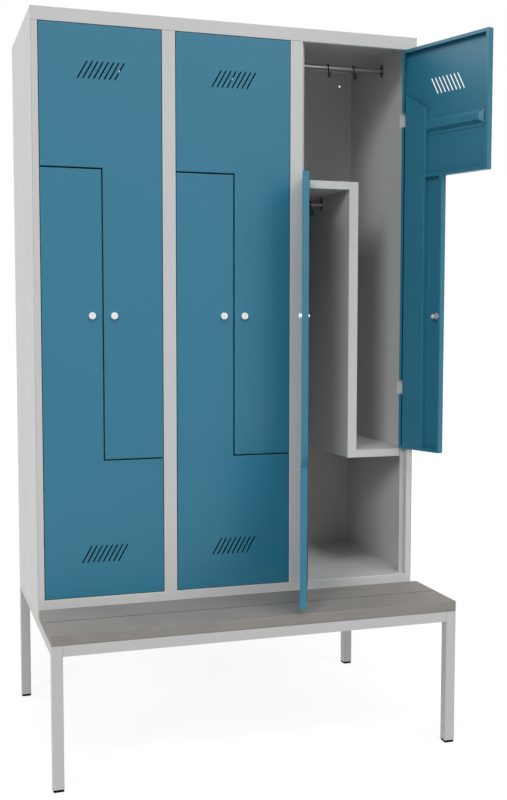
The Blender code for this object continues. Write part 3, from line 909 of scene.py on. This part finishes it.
    def _thicken(self, faces: list[bmesh.types.BMFace], way: Triple) -> None:
        """Makes a closed plate of flat faces.

        Args:
            faces: The faces.
            way: Which way the plate gets its thickness, and how much.
        """
        lid = bmesh.ops.extrude_face_region(self.bm, geom=faces, use_keep_orig=True)
        raised = [item for item in lid["geom"] if isinstance(item, bmesh.types.BMVert)]
        bmesh.ops.translate(self.bm, vec=way, verts=raised)


# Kinds of heads
RAIL_SCREW = Head(radius=0.0028, height=0.0014, recess=0.0006)
CAM_SCREW = Head(radius=0.0034, height=0.0018, recess=0.0008)
SEAT_BOLT = Head(radius=0.0056, height=0.004, sides=6)
CABINET_BOLT = Head(radius=0.0074, height=0.005, sides=6)
BACK_RIVET = Head(radius=0.0036, height=0.0009)

# End plates of the coat rails with their dark plates of painted shade and their screws, in metres
END_PLATE = 0.003
SHADE_PLATE_WIDTH = 0.0206
SHADE_PLATE_HEIGHT = 0.0426
SHADE_PLATE_THICKNESS = 0.0006
RAIL_SCREW_LIFT = 0.0145

# How far behind the door's front the lock's nut and the cam's screw sit, in metres
LOCK_NUT_DEPTH = 0.0014
CAM_SCREW_DEPTH = 0.0218

# Weld beads on the bench frame, in metres; they end short of the tubes' edges
WELD_MARGIN = 0.002
HALF_WELD = HALF_TUBE - WELD_MARGIN
CORNER_WELD = 0.0018
MIDDLE_WELD = 0.0016

# Bolts along the side rails, the front rail and both rails under the cabinet, in metres
SIDE_SEAT_BOLTS = (0.05, 0.10, 0.15, 0.225)
SIDE_CABINET_BOLTS = (0.36, 0.74)
FRONT_SEAT_BOLTS = (0.3, 0.587, 0.874)
CROSS_CABINET_BOLTS = (0.385, 0.785)

# Foot caps, in metres: height of their middle, size and rounding
CAP_MIDDLE = 0.0043
CAP_SIZE = (0.0294, 0.0294, 0.0078)
CAP_ROUNDING = 0.0026

# Rivets on the back, in metres
BACK_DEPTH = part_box("back_panel")[1].y
RIVET_ROWS = (0.006, 0.3915, 0.7915, 1.164)
RIVETS_IN_ROW = 7
LOWEST_RIVET = 0.520
RIVET_PITCH = 0.262

# Faces that meet at more than this are shaded with a sharp edge
SHARP_ANGLE = math.radians(35)


@dataclass
class Fittings:
    """Small fasteners, caps, nuts and weld beads that the CAD leaves out.

    Args:
        dresser: Holds the finishes.
    """

    dresser: Dresser

    def put(self, name: str, shape: Shape, body: str, slot: Slot,
            place: Matrix | None = None) -> None:
        """Makes one piece of a shape and fixes it to a body.

        Args:
            name: The piece's name.
            shape: Its solids.
            body: The body that it rides on.
            slot: Its finish.
            place: Its place and turn, where it isn't built in place.
        """
        if place is not None:
            bmesh.ops.transform(shape.bm, matrix=place, verts=shape.bm.verts)
        bmesh.ops.recalc_face_normals(shape.bm, faces=shape.bm.faces)
        mesh = bpy.data.meshes.new(name)
        shape.bm.to_mesh(mesh)
        shape.bm.free()
        mesh.shade_smooth()
        mesh.set_sharp_from_angle(angle=SHARP_ANGLE)
        piece = bpy.data.objects.new(name, mesh)
        bpy.context.scene.collection.objects.link(piece)
        self.dresser.wear(piece, slot)
        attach(piece, body)
        LOG.info("fitted %s, %d faces", name, len(mesh.polygons))

    def add_rail_fixings(self) -> None:
        """Dark plate of painted shade and two screws on each end plate of each coat rail."""
        for level in LEVELS:
            for bay in BAYS:
                name = f"coat_rail_{level}_{bay}"
                low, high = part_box(name)
                depth, middle = (low.y + high.y) / 2, (low.z + high.z) / 2
                screws, shade_plates = Shape(), Shape()
                for across, facing, sign in ((low.x + END_PLATE, "right", 1.0),
                                             (high.x - END_PLATE, "left", -1.0)):
                    # A thin dark plate in the wire's finish stands in for the shade on the end
                    # plate
                    shade_plates.oval((across, depth, middle), facing, SHADE_PLATE_WIDTH, SHADE_PLATE_HEIGHT,
                                SHADE_PLATE_THICKNESS)
                    seat = across + sign * SHADE_PLATE_THICKNESS
                    for lift in (-RAIL_SCREW_LIFT, RAIL_SCREW_LIFT):
                        screws.head((seat, depth, middle + lift), facing, RAIL_SCREW)
                self.put(f"{name}_shade_plates", shade_plates, "cabinet", Slot.HOOK)
                self.put(f"{name}_screws", screws, "cabinet", Slot.RAIL)

    def add_lock_fixings(self) -> None:
        """Nut behind each lock's front and screw on each cam."""
        for door in (f"{level}_door_{bay}" for level in LEVELS for bay in BAYS):
            place = lock_place(door)
            nut, screw = Shape(), Shape()
            nut.nut((0.0, LOCK_NUT_DEPTH, 0.0), bore=0.0082, flats=0.0096, thickness=0.0025)
            screw.head((0.0, CAM_SCREW_DEPTH, 0.0), "rear", CAM_SCREW)
            self.put(f"{door}_lock_nut", nut, door, Slot.LOCK, place)
            self.put(f"{door}_cam_screw", screw, f"{door}_lock", Slot.LOCK, place)

    def add_bench_welds(self) -> None:
        """Weld beads in the corners of the bench frame."""
        beads = Shape()
        for leg_x, inward in zip(LEG_ACROSS, (1.0, -1.0)):
            inner = leg_x + inward * HALF_TUBE
            for leg_y, ahead in zip(LEG_DEPTH, (1.0, -1.0)):
                near = leg_y + ahead * HALF_TUBE
                beads.bead((inner, leg_y - HALF_WELD, RAIL_UNDERSIDE),
                           (inner, leg_y + HALF_WELD, RAIL_UNDERSIDE), CORNER_WELD)
                beads.bead((leg_x - HALF_WELD, near, RAIL_UNDERSIDE),
                           (leg_x + HALF_WELD, near, RAIL_UNDERSIDE), CORNER_WELD)
            for side in (-1.0, 1.0):
                depth = MIDDLE_RAIL_DEPTH + side * HALF_TUBE
                beads.bead((inner, depth, RAIL_UNDERSIDE + WELD_MARGIN),
                           (inner, depth, FRAME_TOP - WELD_MARGIN), MIDDLE_WELD)
        self.put("bench_weld_beads", beads, "cabinet", Slot.FRAME)

    def add_bench_bolts(self) -> None:
        """Bolts under the bench frame, which hold the seat and the cabinet."""
        bolts = Shape()
        for leg_x in LEG_ACROSS:
            for depth in SIDE_SEAT_BOLTS:
                bolts.head((leg_x, depth, RAIL_UNDERSIDE), "down", SEAT_BOLT)
            for depth in SIDE_CABINET_BOLTS:
                bolts.head((leg_x, depth, RAIL_UNDERSIDE), "down", CABINET_BOLT)
        for across in FRONT_SEAT_BOLTS:
            bolts.head((across, LEG_DEPTH[0], RAIL_UNDERSIDE), "down", SEAT_BOLT)
        for across in CROSS_CABINET_BOLTS:
            for depth in (MIDDLE_RAIL_DEPTH, LEG_DEPTH[1]):
                bolts.head((across, depth, RAIL_UNDERSIDE), "down", CABINET_BOLT)
        self.put("bench_bolts", bolts, "cabinet", Slot.RAIL)

    def add_foot_caps(self) -> None:
        """Square black cap round each foot, as wide as the leg above it."""
        caps = Shape()
        for across in LEG_ACROSS:
            for depth in LEG_DEPTH:
                caps.block((across, depth, CAP_MIDDLE), CAP_SIZE, CAP_ROUNDING)
        self.put("foot_caps", caps, "cabinet", Slot.FOOT)

    def add_back_rivets(self) -> None:
        """Upright rows of flat rivets on the back."""
        rivets = Shape()
        for across in RIVET_ROWS:
            for step in range(RIVETS_IN_ROW):
                height = LOWEST_RIVET + RIVET_PITCH * step
                rivets.head((across, BACK_DEPTH, height), "rear", BACK_RIVET)
        self.put("back_rivets", rivets, "cabinet", Slot.FRAME)

    def build(self) -> None:
        """Adds all of them."""
        self.add_rail_fixings()
        self.add_lock_fixings()
        self.add_bench_welds()
        self.add_bench_bolts()
        self.add_foot_caps()
        self.add_back_rivets()


@dataclass(frozen=True)
class Lamp:
    """A broad far lamp.

    Args:
        name: Its name.
        azimuth: Where it stands, in degrees from the front towards the right.
        elevation: Its height, in degrees above the horizon.
        energy: Its strength.
        width: How broad it looks, in degrees.
    """

    name: str
    azimuth: float
    elevation: float
    energy: float
    width: float

    def hang(self) -> None:
        """Adds the lamp to the scene."""
        light = bpy.data.lights.new(self.name, "SUN")
        light.energy = self.energy
        light.angle = math.radians(self.width)
        hung = bpy.data.objects.new(self.name, light)
        turn, rise = math.radians(self.azimuth), math.radians(self.elevation)
        towards = Vector((math.sin(turn) * math.cos(rise), -math.cos(turn) * math.cos(rise),
                          math.sin(rise)))
        hung.rotation_euler = towards.to_track_quat("Z", "Y").to_euler()
        bpy.context.scene.collection.objects.link(hung)


LAMPS = (
    Lamp("front_left_lamp", -40.0, 27.0, 1.03, 18.0),
    Lamp("low_left_lamp", -40.0, 15.0, 0.42, 25.0),
    Lamp("front_top_lamp", -9.0, 57.0, 0.52, 12.0),
    Lamp("front_right_lamp", 30.0, 40.0, 1.20, 45.0),
    Lamp("rear_left_lamp", -125.0, 25.0, 1.10, 45.0),
    Lamp("rear_right_lamp", 125.0, 25.0, 0.33, 45.0),
    Lamp("rear_lamp", 170.0, 45.0, 0.57, 45.0),
)

# The floor, in metres, and the brightness at which it turns out white in full light
FLOOR_REACH = 30.0
FLOOR_MIDDLE = (0.6, 0.4, -0.0004)
FLOOR_WHITE = 1.07

# The camera: lens and sensor in millimetres, place in metres and turns in radians
LENS = 49.564
SENSOR_WIDTH = 36.0
FAR_CLIP = 100.0
CAMERA_PLACE = (-0.38050, -2.92763, 1.28213)
CAMERA_YAW = -0.30942
CAMERA_PITCH = math.pi / 2 - 0.074583
CAMERA_ROLL = 0.001066


@dataclass
class Studio:
    """Floor, world, lamps and camera.

    Args:
        ambient: Strength of the even light from all round.
        shade: How dark the floor's shadow may get, as a share.
        bounce: Share of the light that the floor throws back onto the object.
    """

    ambient: float = 0.02
    shade: float = 0.24
    bounce: float = 0.62

    @staticmethod
    def _split_rays(wiring: Wiring, light: bpy.types.Node, view: bpy.types.Node,
                    output: str) -> None:
        """Uses one shader for the light and another one where the surface is seen.

        Args:
            wiring: Wiring of the tree.
            light: The shader for the light.
            view: The shader for rays from the camera, from gloss and through glass.
            output: Type name of the output node.
        """
        path = wiring.node("ShaderNodeLightPath")
        seen = wiring.math("MAXIMUM", path.outputs["Is Camera Ray"], path.outputs["Is Glossy Ray"])
        seen = wiring.math("MAXIMUM", seen, path.outputs["Is Transmission Ray"])
        mix = wiring.node("ShaderNodeMixShader")
        for target, source in zip(mix.inputs, (seen, light.outputs[0], view.outputs[0])):
            wiring.join(source, target)
        wiring.join(mix.outputs[0], wiring.node(output).inputs[0])

    def light_world(self) -> None:
        """Even light from all round, behind a white backdrop."""
        world = bpy.data.worlds.new("studio")
        bpy.context.scene.world = world
        world.use_nodes = True
        world.node_tree.nodes.clear()
        wiring = Wiring(world.node_tree)
        light = wiring.node("ShaderNodeBackground", in_Color=grey(1.0), in_Strength=self.ambient)
        backdrop = wiring.node("ShaderNodeBackground", in_Color=grey(1.0), in_Strength=1.0)
        self._split_rays(wiring, light, backdrop, "ShaderNodeOutputWorld")

    def lay_floor(self) -> None:
        """Pale floor that keeps the object's shadow."""
        shape = bmesh.new()
        bmesh.ops.create_grid(shape, x_segments=1, y_segments=1, size=FLOOR_REACH)
        bmesh.ops.translate(shape, vec=FLOOR_MIDDLE, verts=shape.verts)
        mesh = bpy.data.meshes.new("floor")
        shape.to_mesh(mesh)
        shape.free()
        floor = bpy.data.objects.new("floor", mesh)
        bpy.context.scene.collection.objects.link(floor)
        mesh.materials.append(self._floor_material())

    def _floor_material(self) -> bpy.types.Material:
        """Throws light back like a pale floor, and is seen as white where no shadow falls.

        Returns:
            The material.
        """
        material = bpy.data.materials.new("pale_floor")
        material.use_nodes = True
        material.node_tree.nodes.clear()
        wiring = Wiring(material.node_tree)
        lit = wiring.node("ShaderNodeBsdfDiffuse", in_Color=grey(self.bounce))
        shown = wiring.node("ShaderNodeBsdfDiffuse", in_Color=grey(self.shade))
        glow = wiring.node("ShaderNodeEmission", in_Color=grey(1.0),
                           in_Strength=FLOOR_WHITE - self.shade)
        both = wiring.node("ShaderNodeAddShader")
        wiring.join(shown.outputs[0], both.inputs[0])
        wiring.join(glow.outputs[0], both.inputs[1])
        self._split_rays(wiring, lit, both, "ShaderNodeOutputMaterial")
        return material

    def set_camera(self) -> None:
        """Camera where the photograph was taken from."""
        data = bpy.data.cameras.new("camera")
        data.lens = LENS
        data.sensor_width = SENSOR_WIDTH
        data.clip_end = FAR_CLIP
        camera = bpy.data.objects.new("camera", data)
        camera.matrix_world = (Matrix.Translation(CAMERA_PLACE)
                               @ Matrix.Rotation(CAMERA_YAW, 4, "Z")
                               @ Matrix.Rotation(CAMERA_PITCH, 4, "X")
                               @ Matrix.Rotation(CAMERA_ROLL, 4, "Z"))
        bpy.context.scene.collection.objects.link(camera)
        bpy.context.scene.camera = camera

    def build(self) -> None:
        """Sets up the whole studio."""
        self.light_world()
        self.lay_floor()
        for lamp in LAMPS:
            lamp.hang()
        self.set_camera()
        bpy.context.scene.view_settings.view_transform = "Standard"


def main() -> None:
    """Builds the classes in order and reports each piece."""
    logging.basicConfig(level=logging.INFO, format="%(message)s")
    dresser = Dresser(ShaderGroups())
    dresser.dress_nodes()
    Fittings(dresser).build()
    Studio().build()


if __name__ == "__main__":
    main()
